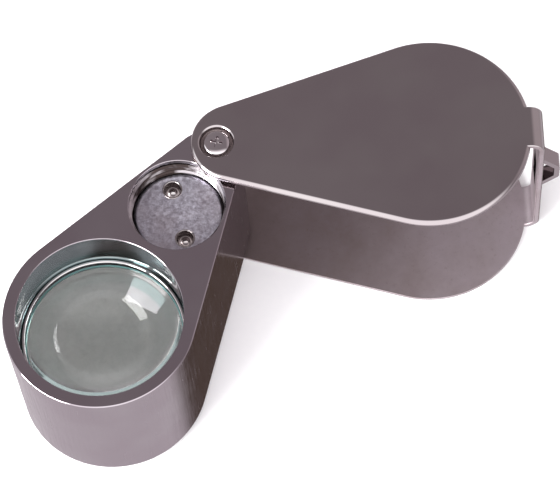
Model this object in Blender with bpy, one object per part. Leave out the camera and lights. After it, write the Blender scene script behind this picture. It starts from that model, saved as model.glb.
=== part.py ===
"""Folding viewing loupe: a U-shaped sheet cover with a lens housing that swings out on two pivot screws.

The housing holds a magnifying lens, a lamp with its switch and three button cells under a screw cap.
Metres, +Z up. The cover lies on its lower plate at z = 0, its round end is centred on the origin, and
the pivot axis stands at x = -REACH. Everything in the housing is laid out folded, along +X from the
pivot, and the swing empty turns it out to the rest pose.
"""

import math

import bmesh
import bpy
from mathutils import Matrix, Vector

MM = 0.001

# Driving dimensions
REACH = 31.8 * MM  # pivot axis to the middle of the cover's round end
SWING = math.radians(-124.0)  # housing turned out from folded
HOUSING_DEPTH = 25.4 * MM
HOUSING_R = 14.3 * MM
SHEET = 0.9 * MM  # cover sheet thickness
GAP = 0.9 * MM  # cover plate to housing face
FIT = 0.08 * MM  # clearance of pieces that slide or screw into each other

# Heights that follow from them
HOUSING_Z0 = SHEET + GAP
HOUSING_Z1 = HOUSING_Z0 + HOUSING_DEPTH
COVER_TOP = HOUSING_Z1 + GAP + SHEET

# Housing outline
NOSE_R = 5.2 * MM  # narrow end at the pivot
NOSE_OFFSET = 2.8 * MM  # its centre, from the pivot towards the lens
EDGE_CHAMFER = 0.25 * MM

# Cover
COVER_R = 15.2 * MM
COVER_NOSE_R = 6.4 * MM
COVER_NOSE_OFFSET = 2.5 * MM
COVER_EDGE_R = 0.6 * MM
STRAP_WIDTH = 6.6 * MM
STRAP_X = 17.1 * MM  # outer face of the strap that joins the two plates
STRAP_BEND_R = 2.3 * MM
LOOP_Z = 15.2 * MM
LOOP_BASE = 9.4 * MM
LOOP_FLAT = 3.2 * MM
LOOP_REACH = 2.8 * MM
LOOP_WIDTH = 2.4 * MM
LOOP_SHEET = 0.85 * MM
LOOP_WINDOW = 3.0 * MM

# Pivot
DISH_R = 2.5 * MM
DISH_DEPTH = 0.95 * MM
DISH_BOSS_R = 3.1 * MM
DISH_BOSS = 0.45 * MM  # how far the dish stands out of the plate's inner face
SCREW_R = 1.0 * MM
SCREW_HEAD_R = 2.0 * MM
SCREW_HEAD = 0.85 * MM
SCREW_LENGTH = 5.2 * MM
SCREW_POINT = 0.4 * MM  # length of the lead-in at the screw's end
CROSS_TURN = math.radians(20)
CROSS_WIDTH = 0.55 * MM
CROSS_SPAN = 2.2 * MM
CROSS_DEPTH = 0.6 * MM
WASHER_R = 2.9 * MM
WASHER_THICK = 0.3 * MM

# Lens and its bore, depths measured down from the housing's upper face
LENS_AXIS = 32.1 * MM  # from the pivot
BORE_R = 12.4 * MM
LOWER_BORE_R = 11.8 * MM
SEAT_R = 11.5 * MM
SEAT_DEPTH = 11.1 * MM
SEAT_THICK = 1.2 * MM
RING_DEPTH = 7.3 * MM
RING_THICK = 1.0 * MM
RING_INNER_R = 11.8 * MM
LENS_R = 12.2 * MM
LENS_EDGE_DEPTH = 8.4 * MM
LENS_EDGE_THICK = 2.5 * MM
LENS_DOME_R = 11.7 * MM
LENS_DOME_RISE = 3.2 * MM
NOTCH_LENGTH = 2.0 * MM  # of the two key notches in the retaining ring
NOTCH_WIDTH = 1.2 * MM

# Battery compartment, on the line from the pivot to the lens
CELL_AXIS = 11.1 * MM  # from the pivot
THREAD_R = 7.25 * MM  # root of the cap's thread
THREAD_DEPTH = 7.6 * MM
CAP_R = 6.8 * MM  # core of the cap, inside the crests of the thread
CAP_DEPTH = 3.3 * MM
CAP_THICK = 2.8 * MM
SPANNER_R = 1.3 * MM
SPANNER_OFFSET = 4.15 * MM
SPANNER_DEPTH = 1.6 * MM
SPANNER_TURN = math.radians(46)
SPANNER_RIM = 0.15 * MM
CAP_BEVEL = 0.5 * MM
CHAMBER_R = 6.4 * MM
CHAMBER_FLOOR = 1.5 * MM  # housing metal left below the compartment
CELL_R = 5.8 * MM
CELL_THICK = 3.05 * MM
CELL_COUNT = 3
CELL_GAP = 0.1 * MM
CELL_EDGE = 0.35 * MM
CELL_STEP = 0.5 * MM  # height of the smaller pole's cup
CELL_SEAL = 0.9 * MM  # how far that cup stands in from the can
SLEEVE_R = 6.3 * MM
SLEEVE_INNER_R = 5.95 * MM
BOARD_Z = 7.4 * MM
BOARD_THICK = 0.8 * MM
CONTACT_THICK = 0.3 * MM
CONTACT_R = 4.0 * MM
SPRING_WIRE_R = 0.25 * MM
SPRING_WIDE_R = 4.6 * MM
SPRING_NARROW_R = 2.0 * MM
SPRING_TURNS = 3.5

# Lamp
LAMP_Z = 5.3 * MM
LAMP_R = 1.5 * MM
LAMP_FLANGE_R = 1.8 * MM
LAMP_FLANGE = 0.8 * MM
LAMP_LEG = 3.0 * MM
LAMP_LEG_WIDTH = 0.45 * MM
LAMP_LEG_SPACING = 1.6 * MM
LAMP_LENGTH = 4.6 * MM
LAMP_TIP = 20.0 * MM  # from the pivot, where the dome looks into the lens bore
LAMP_BACK = LAMP_TIP - LAMP_LENGTH - 0.1 * MM
RESISTOR_SIZE = (2.0 * MM, 1.2 * MM, 0.6 * MM)
RESISTOR_OFFSET = 3.0 * MM  # from the board's middle, towards the pivot

# Slide switch in the far flank
SWITCH_ALONG = 16.6 * MM  # from the narrow end's tangent point, along the flank
SWITCH_Z = 14.5 * MM
POCKET_LENGTH = 6.6 * MM
POCKET_HEIGHT = 3.6 * MM
POCKET_DEPTH = 2.6 * MM
SLIDER_TRAVEL = 2.0 * MM
SLIDER_LENGTH = 2.6 * MM
SLIDER_HEIGHT = 2.4 * MM
SLIDER_PROUD = 0.7 * MM
SWITCH_DEPTH = 2.1 * MM
SWITCH_INSET = 0.35 * MM  # switch body below the flank
SWITCH_ROOM = 0.4 * MM  # pocket larger than the switch body
SLOT_ROOM = 0.3 * MM
DUCT_X = 15.3 * MM  # wire duct from the switch down to the lamp, from the pivot
DUCT_Y = 6.9 * MM
DUCT_Z = 5.0 * MM
DUCT_R = 0.75 * MM
LEAD_R = 0.24 * MM
LEAD_SPACING = 0.64 * MM
LEAD_BEND = 0.6 * MM
LEAD_REACH = 4.2 * MM  # level run from the duct to under the board

ROUND = 64  # segments of the large turned surfaces
SMALL_ROUND = 32
CELL_ROUND = 48
WIRE_ROUND = 16

COLOURS = {
    "chrome": ((0.62, 0.60, 0.60), 0.08, 1.0),
    "satin_steel": ((0.55, 0.55, 0.57), 0.38, 1.0),
    "brass": ((0.72, 0.56, 0.30), 0.3, 1.0),
    "glass": ((0.80, 0.88, 0.86), 0.02, 0.0),
    "red_plastic": ((0.55, 0.03, 0.02), 0.45, 0.0),
    "nylon": ((0.86, 0.85, 0.80), 0.5, 0.0),
    "black_plastic": ((0.03, 0.03, 0.03), 0.45, 0.0),
    "board_green": ((0.05, 0.22, 0.10), 0.45, 0.0),
    "clear_plastic": ((0.90, 0.92, 0.95), 0.08, 0.0),
}


def clear_scene():
    for obj in list(bpy.data.objects):
        bpy.data.objects.remove(obj, do_unlink=True)


def material(name):
    found = bpy.data.materials.get(name)
    if found:
        return found
    colour, roughness, metallic = COLOURS[name]
    made = bpy.data.materials.new(name)
    made.use_nodes = True
    shader = made.node_tree.nodes["Principled BSDF"]
    shader.inputs["Base Color"].default_value = (*colour, 1)
    shader.inputs["Roughness"].default_value = roughness
    shader.inputs["Metallic"].default_value = metallic
    return made


def new_object(name, bm, look=None):
    """The bmesh as an object. One without a look is a cutter."""
    bmesh.ops.recalc_face_normals(bm, faces=bm.faces)
    mesh = bpy.data.meshes.new(name)
    bm.to_mesh(mesh)
    bm.free()
    obj = bpy.data.objects.new(name, mesh)
    bpy.context.scene.collection.objects.link(obj)
    if look:
        mesh.materials.append(material(look))
        mesh.shade_smooth()
        mesh.set_sharp_from_angle(angle=math.radians(35))
    else:
        obj.hide_render = True
        obj.display_type = "WIRE"
    return obj


def new_empty(name, location, turn=0.0):
    empty = bpy.data.objects.new(name, None)
    bpy.context.scene.collection.objects.link(empty)
    empty.location = location
    empty.rotation_euler = (0, 0, turn)
    return empty


def place(obj, parent, location=(0, 0, 0), turn=0.0):
    obj.parent = parent
    obj.location = location
    obj.rotation_euler = (0, 0, turn)
    return obj


def boolean(target, other, operation):
    modifier = target.modifiers.new(operation.title() + " " + other.name, "BOOLEAN")
    modifier.operation = operation
    modifier.solver = "EXACT"
    modifier.object = other


def cut(target, *cutters):
    for cutter in cutters:
        boolean(target, cutter, "DIFFERENCE")


def join(target, *others):
    for other in others:
        boolean(target, other, "UNION")


def turned(profile, segments=ROUND, closed=False):
    """A bmesh of (radius, height) points spun round Z. A closed profile makes a ring."""
    bm = bmesh.new()
    points = [bm.verts.new((r, 0, z)) for r, z in profile]
    ends = points + points[:1] if closed else points
    edges = [bm.edges.new(pair) for pair in zip(ends, ends[1:])]
    bmesh.ops.spin(
        bm, geom=points + edges, cent=(0, 0, 0), axis=(0, 0, 1),
        angle=math.tau, steps=segments, use_duplicate=False,
    )
    bmesh.ops.remove_doubles(bm, verts=bm.verts, dist=1e-7)
    bmesh.ops.dissolve_degenerate(bm, edges=bm.edges, dist=1e-8)
    return bm


def cylinder(radius, z0, z1, segments=SMALL_ROUND):
    return turned([(0, z0), (radius, z0), (radius, z1), (0, z1)], segments)


def lying(bm):
    """Turns a body from along Z to along X."""
    bmesh.ops.rotate(bm, cent=(0, 0, 0), matrix=Matrix.Rotation(math.pi / 2, 3, "Y"), verts=bm.verts)
    return bm


def box(size, centre=(0, 0, 0)):
    bm = bmesh.new()
    bmesh.ops.create_cube(bm, size=1)
    bmesh.ops.scale(bm, vec=size, verts=bm.verts)
    bmesh.ops.translate(bm, vec=centre, verts=bm.verts)
    return bm


def arc(centre, radius, start, end, steps):
    """Points along an arc in a plane, from one angle to another."""
    angles = [start + (end - start) * i / steps for i in range(steps + 1)]
    return [(centre[0] + radius * math.cos(a), centre[1] + radius * math.sin(a)) for a in angles]


def teardrop(nose_x, nose_r, round_x, round_r, nose_steps=14, round_steps=40):
    """Outline of two circles joined by their outer tangents, counter-clockwise."""
    lean = math.acos((nose_r - round_r) / (round_x - nose_x))
    return arc((round_x, 0), round_r, -lean, lean, round_steps) + arc(
        (nose_x, 0), nose_r, lean, math.tau - lean, nose_steps
    )


def slab(outline, z0, z1):
    """A bmesh of the outline, extruded from z0 to z1."""
    bm = bmesh.new()
    face = bm.faces.new([bm.verts.new((x, y, z0)) for x, y in outline])
    raised = bmesh.ops.extrude_face_region(bm, geom=[face])["geom"]
    verts = [v for v in raised if isinstance(v, bmesh.types.BMVert)]
    bmesh.ops.translate(bm, vec=(0, 0, z1 - z0), verts=verts)
    return bm


def soften(bm, height, radius, steps):
    """Bevels the edges round the outline at this height."""
    rim = [e for e in bm.edges if all(abs(v.co.z - height) < 1e-7 for v in e.verts)]
    bmesh.ops.bevel(
        bm, geom=rim, offset=radius, offset_type="OFFSET", segments=steps,
        profile=0.5, affect="EDGES", clamp_overlap=True,
    )
    return bm


def bent_strip(path, thickness, width):
    """A bmesh of a sheet strip: the path is its outer face in X and Z, and it is centred on y = 0."""
    path = [Vector(p) for p in path]
    inner = []
    for i, point in enumerate(path):
        before = (point - path[i - 1]).normalized() if i else (path[1] - point).normalized()
        after = (path[i + 1] - point).normalized() if i + 1 < len(path) else before
        side = Vector((before.y + after.y, -before.x - after.x)).normalized()
        inner.append(point + side * thickness / side.dot(Vector((before.y, -before.x))))
    outline = path + inner[::-1]
    bm = bmesh.new()
    face = bm.faces.new([bm.verts.new((p.x, -width / 2, p.y)) for p in outline])
    raised = bmesh.ops.extrude_face_region(bm, geom=[face])["geom"]
    verts = [v for v in raised if isinstance(v, bmesh.types.BMVert)]
    bmesh.ops.translate(bm, vec=(0, width, 0), verts=verts)
    return bm


def cover_plate(z0, outer_face, name, look=None):
    outline = teardrop(COVER_NOSE_OFFSET - REACH, COVER_NOSE_R, 0, COVER_R)
    bm = slab(outline, z0, z0 + SHEET)
    return new_object(name, soften(bm, outer_face, COVER_EDGE_R, 4), look)


def pivot_dish(outer_face, inward):
    """Boss, recess and screw hole of the pressed dish in one plate. inward is +1 or -1, into the cover."""
    inner_face = outer_face + inward * SHEET
    boss_end = inner_face + inward * DISH_BOSS
    boss_start = outer_face + inward * SHEET / 2
    floor = outer_face + inward * DISH_DEPTH
    out = outer_face - inward * MM
    side = "lower" if inward > 0 else "upper"
    shoulder = boss_end - inward * DISH_BOSS / 3
    boss_profile = [(0, boss_start), (DISH_BOSS_R, boss_start), (DISH_BOSS_R, shoulder),
                    (DISH_BOSS_R - DISH_BOSS / 3, boss_end), (0, boss_end)]
    boss = new_object("dish boss " + side, turned(boss_profile))
    lip = DISH_R + SHEET / 3
    recess_profile = [(0, out), (lip + MM / 2, out), (lip, outer_face),
                      (DISH_R, outer_face + inward * SHEET / 3), (DISH_R, floor), (0, floor)]
    recess = new_object("dish recess " + side, turned(recess_profile))
    hole = new_object("screw hole " + side, cylinder(SCREW_R + FIT, *sorted((out, boss_end + inward * MM))))
    for obj in (boss, recess, hole):
        obj.location.x = -REACH
    return boss, recess, hole


def make_cover():
    cover = cover_plate(0, 0, "cover", "chrome")
    upper = cover_plate(COVER_TOP - SHEET, COVER_TOP, "upper plate")
    start = COVER_R / 2
    bend_x = STRAP_X - STRAP_BEND_R
    top_bend = arc((bend_x, COVER_TOP - STRAP_BEND_R), STRAP_BEND_R, math.pi / 2, 0, 8)
    low_bend = arc((bend_x, STRAP_BEND_R), STRAP_BEND_R, 0, -math.pi / 2, 8)
    strap = bent_strip([(start, COVER_TOP)] + top_bend + low_bend + [(start, 0)], SHEET, STRAP_WIDTH)
    half_base, half_flat = LOOP_BASE / 2, LOOP_FLAT / 2
    root = STRAP_X - SHEET / 2
    loop = bent_strip(
        [(root, LOOP_Z + half_base), (STRAP_X, LOOP_Z + half_base),
         (STRAP_X + LOOP_REACH, LOOP_Z + half_flat), (STRAP_X + LOOP_REACH, LOOP_Z - half_flat),
         (STRAP_X, LOOP_Z - half_base), (root, LOOP_Z - half_base)],
        LOOP_SHEET, LOOP_WIDTH,
    )
    window_height = LOOP_BASE - 2 * LOOP_SHEET
    window = box((2 * SHEET, LOOP_WINDOW, window_height), (STRAP_X - SHEET, 0, LOOP_Z))
    strap_object = new_object("strap", strap)
    loop_object = new_object("lanyard loop", loop)
    window_object = new_object("loop window", window)
    lower_boss, lower_recess, lower_hole = pivot_dish(0, 1)
    upper_boss, upper_recess, upper_hole = pivot_dish(COVER_TOP, -1)
    join(cover, upper, strap_object)
    cut(cover, window_object)
    join(cover, loop_object, lower_boss, upper_boss)
    cut(cover, lower_recess, lower_hole, upper_recess, upper_hole)
    return cover


def switch_frame():
    """Where the switch sits in the flank, the directions along and out of that flank, and its turn."""
    lean = math.acos((NOSE_R - HOUSING_R) / (LENS_AXIS - NOSE_OFFSET))
    normal = Vector((math.cos(lean), -math.sin(lean), 0))
    along = Vector((math.sin(lean), math.cos(lean), 0))
    tangent_point = Vector((NOSE_OFFSET, 0, 0)) + normal * NOSE_R
    return tangent_point + along * SWITCH_ALONG, along, normal, math.atan2(along.y, along.x)


def make_housing(swing):
    outline = teardrop(NOSE_OFFSET, NOSE_R, LENS_AXIS, HOUSING_R)
    bm = slab(outline, HOUSING_Z0, HOUSING_Z1)
    for face in (HOUSING_Z0, HOUSING_Z1):
        soften(bm, face, EDGE_CHAMFER, 1)
    housing = new_object("lens_housing", bm, "chrome")
    top, bottom, out = HOUSING_Z1, HOUSING_Z0, MM
    seat = top - SEAT_DEPTH
    lens_bore = turned([(0, seat), (BORE_R, seat), (BORE_R, top - EDGE_CHAMFER),
                        (BORE_R + EDGE_CHAMFER + out, top + out), (0, top + out)])
    lower_bore = turned([(0, bottom - out), (LOWER_BORE_R + EDGE_CHAMFER + out, bottom - out),
                         (LOWER_BORE_R, bottom + EDGE_CHAMFER), (LOWER_BORE_R, seat - SEAT_THICK),
                         (0, seat - SEAT_THICK)])
    seat_hole = cylinder(SEAT_R, seat - 2 * SEAT_THICK, seat + out, ROUND)
    chamber_top = top - THREAD_DEPTH
    mouth = top - EDGE_CHAMFER / 2
    compartment = turned([(0, bottom + CHAMBER_FLOOR), (CHAMBER_R, bottom + CHAMBER_FLOOR),
                          (CHAMBER_R, chamber_top), (THREAD_R, chamber_top), (THREAD_R, mouth),
                          (THREAD_R + EDGE_CHAMFER / 2 + out / 4, top + out / 4), (0, top + out / 4)])
    turned_cutters = {"lens bore": lens_bore, "lower bore": lower_bore, "lens seat hole": seat_hole}
    for name, shape in turned_cutters.items():
        cut(housing, place(new_object(name, shape), swing, (LENS_AXIS, 0, 0)))
    cut(housing, place(new_object("battery compartment", compartment), swing, (CELL_AXIS, 0, 0)))
    depth = SCREW_LENGTH + out
    for name, z0, z1 in (("upper screw hole", top - depth, top + out),
                         ("lower screw hole", bottom - out, bottom + depth)):
        cut(housing, place(new_object(name, cylinder(SCREW_R + FIT, z0, z1)), swing))
    lamp_hole = new_object("lamp hole", lying(cylinder(LAMP_R + FIT, -LAMP_LENGTH, LAMP_LENGTH)))
    cut(housing, place(lamp_hole, swing, (LAMP_TIP - LAMP_LENGTH / 2, 0, LAMP_Z)))
    foot, inward = duct_frame()
    shaft = cylinder(DUCT_R, foot.z - 1.5 * DUCT_R, SWITCH_Z, WIRE_ROUND)
    cut(housing, place(new_object("wire duct", shaft), swing, (foot.x, foot.y, 0)))
    cross = lying(cylinder(DUCT_R * 0.9, 0, 4 * DUCT_R, WIRE_ROUND))
    cut(housing, place(new_object("wire crossing", cross), swing, foot, math.atan2(inward.y, inward.x)))
    centre, _, _, turn = switch_frame()
    pocket = box((POCKET_LENGTH, 2 * POCKET_DEPTH, POCKET_HEIGHT))
    cut(housing, place(new_object("switch pocket", pocket), swing, (centre.x, centre.y, SWITCH_Z), turn))
    return place(housing, swing)


def make_screw(name, swing, z_seat, outward):
    """Pan-head screw with a cross recess. z_seat is the dish floor and outward is +1 or -1."""
    def at(height):
        return z_seat + outward * height
    dome = [(SCREW_HEAD_R * math.cos(a), at(SCREW_HEAD * (0.45 + 0.55 * math.sin(a))))
            for a in (math.radians(d) for d in (0, 25, 50, 75))]
    shank = [(0, at(-SCREW_LENGTH)), (SCREW_R * 0.7, at(-SCREW_LENGTH)),
             (SCREW_R, at(SCREW_POINT - SCREW_LENGTH)), (SCREW_R, at(0))]
    profile = shank + [(SCREW_HEAD_R, at(0))] + dome + [(0, at(SCREW_HEAD))]
    screw = new_object(name, turned(profile), "chrome")
    for i in range(2):
        size = (CROSS_SPAN, CROSS_WIDTH, 2 * CROSS_DEPTH)
        slot = new_object(f"{name} slot {i}", box(size, (0, 0, at(SCREW_HEAD))))
        cut(screw, place(slot, swing, turn=CROSS_TURN + i * math.pi / 2))
    return place(screw, swing)


def make_pivot(swing):
    for side, outer, inward, face in (("upper", COVER_TOP, -1, HOUSING_Z1), ("lower", 0, 1, HOUSING_Z0)):
        make_screw("pivot_screw_" + side, swing, outer + inward * (DISH_DEPTH - FIT), -inward)
        space = GAP - DISH_BOSS
        z0 = face - inward * (space - WASHER_THICK) / 2
        z1 = z0 - inward * WASHER_THICK
        profile = [(SCREW_R + 2 * FIT, z0), (WASHER_R, z0), (WASHER_R, z1), (SCREW_R + 2 * FIT, z1)]
        washer = new_object("pivot_washer_" + side, turned(profile, SMALL_ROUND, closed=True), "nylon")
        place(washer, swing)


def make_lens(swing):
    edge_top = HOUSING_Z1 - LENS_EDGE_DEPTH
    edge_low = edge_top - LENS_EDGE_THICK
    sphere = (LENS_DOME_R**2 + LENS_DOME_RISE**2) / (2 * LENS_DOME_RISE)
    half = math.asin(LENS_DOME_R / sphere)
    steps = 7
    angles = [half * i / steps for i in range(steps + 1)]
    upper = [(sphere * math.sin(a), edge_top + LENS_DOME_RISE - sphere * (1 - math.cos(a))) for a in angles]
    lower = [(r, edge_top + edge_low - z) for r, z in upper]
    profile = lower + [(LENS_R, edge_low), (LENS_R, edge_top)] + upper[::-1]
    place(new_object("magnifying_lens", turned(profile), "glass"), swing, (LENS_AXIS, 0, 0))
    z1 = HOUSING_Z1 - RING_DEPTH
    z0 = z1 - RING_THICK
    outer = BORE_R - FIT
    bevel = RING_THICK / 3
    profile = [(RING_INNER_R, z0), (outer, z0), (outer, z1), (RING_INNER_R + bevel, z1),
               (RING_INNER_R, z1 - bevel)]
    ring = new_object("lens_retaining_ring", turned(profile, closed=True), "chrome")
    for side in (-1, 1):
        at = (side * (RING_INNER_R + outer) / 2, 0, z1)
        notch = new_object(f"ring notch {side}", box((NOTCH_LENGTH, NOTCH_WIDTH, RING_THICK), at))
        cut(ring, place(notch, swing, (LENS_AXIS, 0, 0)))
    place(ring, swing, (LENS_AXIS, 0, 0))


def make_cap(lift):
    """Screw cap with two blind holes for a pin spanner. The lift empty stands on its axis."""
    z1 = HOUSING_Z1 - CAP_DEPTH
    z0 = z1 - CAP_THICK
    profile = [(0, z0), (CAP_R, z0), (CAP_R, z1 - CAP_BEVEL), (CAP_R - CAP_BEVEL, z1), (0, z1)]
    cap = new_object("battery_cap", turned(profile), "satin_steel")
    floor = z1 - SPANNER_DEPTH
    hole_profile = [(0, floor - SPANNER_R / 2), (SPANNER_R, floor), (SPANNER_R, z1 - SPANNER_RIM),
                    (SPANNER_R + 2 * SPANNER_RIM, z1 + SPANNER_RIM), (0, z1 + SPANNER_RIM)]
    for i in range(2):
        hole = new_object(f"spanner hole {i}", turned(hole_profile, SMALL_ROUND))
        angle = SPANNER_TURN + i * math.pi
        cut(cap, place(hole, lift, (SPANNER_OFFSET * math.cos(angle), SPANNER_OFFSET * math.sin(angle), 0)))
    return place(cap, lift)


def cell_stack_z(index):
    base = BOARD_Z + BOARD_THICK + CONTACT_THICK + 2 * CELL_GAP
    return base + index * (CELL_THICK + CELL_GAP)


def make_spring(lift):
    """Conical contact coil between the cap and the top cell, with flat closed ends."""
    z1 = HOUSING_Z1 - CAP_DEPTH - CAP_THICK - SPRING_WIRE_R - CELL_GAP
    z0 = cell_stack_z(CELL_COUNT) + SPRING_WIRE_R + CELL_GAP
    count = int(SPRING_TURNS * WIRE_ROUND)
    points = []
    for i in range(count + 1):
        share = i / count
        angle = math.tau * SPRING_TURNS * share
        radius = SPRING_WIDE_R + (SPRING_NARROW_R - SPRING_WIDE_R) * share
        points.append((radius * math.cos(angle), radius * math.sin(angle), z1 + (z0 - z1) * share))
    return place(tube("battery_contact_spring", points, SPRING_WIRE_R, "brass"), lift)


def make_cells(swing):
    for i in range(CELL_COUNT):
        z0 = cell_stack_z(i)
        z1 = z0 + CELL_THICK
        pole_r = CELL_R - CELL_SEAL
        profile = [(0, z0), (pole_r, z0), (pole_r, z0 + CELL_STEP), (CELL_R, z0 + CELL_STEP + CELL_EDGE),
                   (CELL_R, z1 - CELL_EDGE), (CELL_R - CELL_EDGE, z1), (0, z1)]
        cell = new_object(f"button_cell_{i + 1}", turned(profile, CELL_ROUND), "satin_steel")
        place(cell, swing, (CELL_AXIS, 0, 0))
    z0 = BOARD_Z + BOARD_THICK + CELL_GAP
    z1 = HOUSING_Z1 - THREAD_DEPTH - CELL_GAP
    profile = [(SLEEVE_INNER_R, z0), (SLEEVE_R, z0), (SLEEVE_R, z1), (SLEEVE_INNER_R, z1)]
    sleeve = new_object("battery_sleeve", turned(profile, CELL_ROUND, closed=True), "black_plastic")
    place(sleeve, swing, (CELL_AXIS, 0, 0))


def tube(name, points, radius, look):
    """A wire of round section along the points."""
    curve = bpy.data.curves.new(name, "CURVE")
    curve.dimensions = "3D"
    curve.bevel_depth = radius
    curve.bevel_resolution = 1
    curve.use_fill_caps = True
    spline = curve.splines.new("POLY")
    spline.points.add(len(points) - 1)
    for slot, point in zip(spline.points, points):
        slot.co = (*point, 1)
    wire = bpy.data.objects.new(name, curve)
    bpy.context.scene.collection.objects.link(wire)
    curve.materials.append(material(look))
    return wire


def duct_frame():
    """Foot of the wire duct, and the level direction from it to the battery compartment's axis."""
    foot = Vector((DUCT_X, -DUCT_Y, DUCT_Z))
    return foot, (Vector((CELL_AXIS, 0, DUCT_Z)) - foot).normalized()


def make_leads(swing):
    """Two insulated leads from under the switch, down the duct and up to the lamp's board."""
    foot, inward = duct_frame()
    aside = Vector((inward.y, -inward.x, 0)) * LEAD_SPACING / 2
    up = Vector((0, 0, 1))
    top = up * (SWITCH_Z - POCKET_HEIGHT / 2 + SWITCH_ROOM / 2 - CELL_GAP - 2 * LEAD_R - DUCT_Z)
    end = up * (BOARD_Z - CELL_GAP - DUCT_Z)
    corner = LEAD_BEND * 0.3
    for colour, side in (("red", 1), ("black", -1)):
        start = foot + side * aside
        far = start + inward * LEAD_REACH
        down = [start + top, start + up * LEAD_BEND]
        across = [start + (up + inward) * corner, start + inward * LEAD_BEND, far - inward * LEAD_BEND]
        back_up = [far + (up - inward) * corner, far + up * LEAD_BEND, far + end]
        lead = tube("switch_lead_" + colour, down + across + back_up, LEAD_R, colour + "_plastic")
        place(lead, swing)


def make_lamp(swing):
    """The lamp, and the board under the cells that feeds it."""
    plate_z = BOARD_Z + BOARD_THICK + CELL_GAP
    contact = cylinder(CONTACT_R, plate_z, plate_z + CONTACT_THICK)
    place(new_object("cell_contact_plate", contact, "brass"), swing, (CELL_AXIS, 0, 0))
    board = cylinder(CHAMBER_R - CELL_GAP, BOARD_Z, BOARD_Z + BOARD_THICK, CELL_ROUND)
    place(new_object("lamp_board", board, "board_green"), swing, (CELL_AXIS, 0, 0))
    at = (CELL_AXIS - RESISTOR_OFFSET, 0, BOARD_Z - CELL_GAP - RESISTOR_SIZE[2] / 2)
    place(new_object("resistor", box(RESISTOR_SIZE, at), "black_plastic"), swing)
    tip = [(LAMP_R * math.cos(a), LAMP_LENGTH - LAMP_R + LAMP_R * math.sin(a))
           for a in (math.radians(d) for d in (0, 22, 45, 68))]
    profile = [(0, 0), (LAMP_FLANGE_R, 0), (LAMP_FLANGE_R, LAMP_FLANGE), (LAMP_R, LAMP_FLANGE)]
    profile += tip + [(0, LAMP_LENGTH)]
    lamp = new_object("lamp_led", lying(turned(profile, SMALL_ROUND)), "clear_plastic")
    place(lamp, swing, (LAMP_BACK, 0, LAMP_Z))
    for side in (-1, 1):
        size = (LAMP_LEG, LAMP_LEG_WIDTH, LAMP_LEG_WIDTH)
        at = (LAMP_LEG_WIDTH / 2 - LAMP_LEG / 2, side * LAMP_LEG_SPACING / 2, 0)
        leg = new_object(f"lamp leg {side}", box(size, at))
        join(lamp, place(leg, swing, (LAMP_BACK, 0, LAMP_Z)))


def make_switch(swing):
    centre, along, normal, turn = switch_frame()
    inset = centre - normal * (SWITCH_INSET + SWITCH_DEPTH / 2)
    size = (POCKET_LENGTH - SWITCH_ROOM, SWITCH_DEPTH, POCKET_HEIGHT - SWITCH_ROOM)
    body = new_object("switch_body", box(size), "satin_steel")
    slot_size = (SLIDER_LENGTH + SLIDER_TRAVEL + SWITCH_ROOM, SWITCH_DEPTH, SLIDER_HEIGHT + SLOT_ROOM)
    slot_at = inset + normal * SWITCH_DEPTH * 0.6
    slot = new_object("switch slot", box(slot_size))
    cut(body, place(slot, swing, (slot_at.x, slot_at.y, SWITCH_Z), turn))
    place(body, swing, (inset.x, inset.y, SWITCH_Z), turn)
    knob_depth = SWITCH_DEPTH / 2 + SLIDER_PROUD
    slider = new_object("switch_slider", box((SLIDER_LENGTH, knob_depth, SLIDER_HEIGHT)), "black_plastic")
    at = centre + normal * (SLIDER_PROUD - knob_depth / 2) - along * SLIDER_TRAVEL / 2
    place(slider, swing, (at.x, at.y, SWITCH_Z), turn)


def main():
    clear_scene()
    swing = new_empty("lens_swing", (-REACH, 0, 0), SWING)
    lift = place(new_empty("cap_axis", (0, 0, 0)), swing, (CELL_AXIS, 0, 0))
    make_cover()
    make_housing(swing)
    make_pivot(swing)
    make_lens(swing)
    make_cap(lift)
    make_spring(lift)
    make_cells(swing)
    make_lamp(swing)
    make_switch(swing)
    make_leads(swing)


main()
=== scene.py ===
"""Looks of the folding viewing loupe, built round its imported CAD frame.

Places come from the frame: the pivot, lens and battery axes are the centres of their nodes.
The housing's pieces are laid out folded, along +X from the pivot, and SWUNG turns them out to rest.
"""

import math

import bmesh
import bpy
from mathutils import Matrix, Vector


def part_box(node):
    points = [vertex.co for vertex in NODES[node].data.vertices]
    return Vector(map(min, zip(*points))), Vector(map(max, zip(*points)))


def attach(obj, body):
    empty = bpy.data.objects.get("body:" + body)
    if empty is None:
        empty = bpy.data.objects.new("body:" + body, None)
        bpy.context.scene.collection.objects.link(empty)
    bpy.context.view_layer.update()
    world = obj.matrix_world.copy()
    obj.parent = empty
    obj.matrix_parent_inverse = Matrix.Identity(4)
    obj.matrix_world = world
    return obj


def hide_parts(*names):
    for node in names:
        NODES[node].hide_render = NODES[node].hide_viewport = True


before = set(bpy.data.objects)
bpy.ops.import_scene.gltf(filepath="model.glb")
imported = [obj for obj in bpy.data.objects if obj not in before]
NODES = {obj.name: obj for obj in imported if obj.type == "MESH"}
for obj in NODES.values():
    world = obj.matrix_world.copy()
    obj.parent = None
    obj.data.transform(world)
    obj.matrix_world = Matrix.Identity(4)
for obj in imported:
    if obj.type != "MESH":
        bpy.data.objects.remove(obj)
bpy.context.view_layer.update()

MM = 0.001
MICRON = 0.001 * MM


def middle(node):
    low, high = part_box(node)
    return (low + high) / 2


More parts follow.
